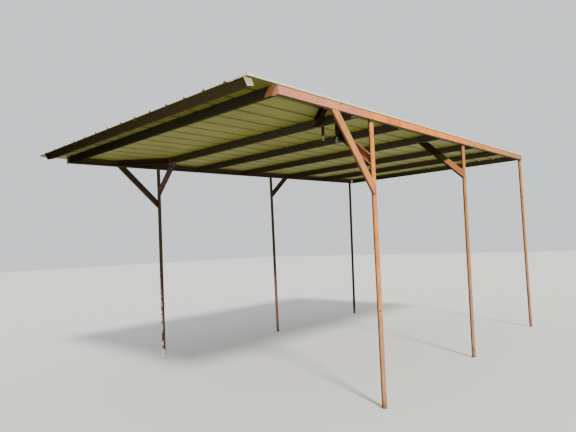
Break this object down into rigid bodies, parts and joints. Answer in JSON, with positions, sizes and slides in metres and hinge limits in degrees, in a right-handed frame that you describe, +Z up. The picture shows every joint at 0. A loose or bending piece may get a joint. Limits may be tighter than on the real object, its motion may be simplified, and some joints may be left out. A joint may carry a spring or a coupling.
{
  "type": "carport",
  "caption": "Open steel carport: pipe posts in two rows, channel beams, braces and purlins, and a ribbed sheet roof that falls gently to the front.",
  "frame": {"origin": "bottom centre of the whole carport, on the ground", "axes": "+X to the right seen from the low front edge, +Y to the back, up the roof's slope, +Z up"},
  "size_m": [4.5651, 8.2556, 3.7002],
  "materials": {
    "brown_paint": "old brown primer paint with rust at welds and edges",
    "cream_sheet": "chalky off-white baked paint with dirt",
    "pale_primer": "matte",
    "concrete": "rough grey concrete"
  },
  "bodies": {
    "root": {"post_right_front": "brown_paint", "post_right_middle": "brown_paint", "post_right_rear": "brown_paint", "post_left_front": "brown_paint", "post_left_middle": "brown_paint", "post_left_rear": "brown_paint", "side_beam_right": "brown_paint", "side_beam_left": "brown_paint", "beam_end_plate_right": "brown_paint", "beam_end_plate_left": "brown_paint", "purlin_1": "brown_paint", "purlin_2": "brown_paint", "purlin_3": "brown_paint", "purlin_4": "brown_paint", "purlin_5": "brown_paint", "purlin_6": "brown_paint", "purlin_7": "brown_paint", "front_fascia": "brown_paint", "front_brace_right": "brown_paint", "front_brace_left": "brown_paint", "rear_brace_left": "brown_paint", "inner_brace_right_front": "brown_paint", "inner_brace_right_middle": "brown_paint", "inner_brace_left_front": "brown_paint", "corner_brace_right": "brown_paint", "corner_brace_left": "brown_paint", "brace_strap": "brown_paint", "spare_strap": "brown_paint", "roof_sheet_1": "cream_sheet", "roof_sheet_2": "cream_sheet", "roof_sheet_3": "cream_sheet", "roof_sheet_4": "cream_sheet", "roof_sheet_5": "cream_sheet", "fascia_end_plate_right": "pale_primer", "fascia_end_plate_left": "pale_primer", "footing_left_front": "concrete"}
  },
  "joints": []
}
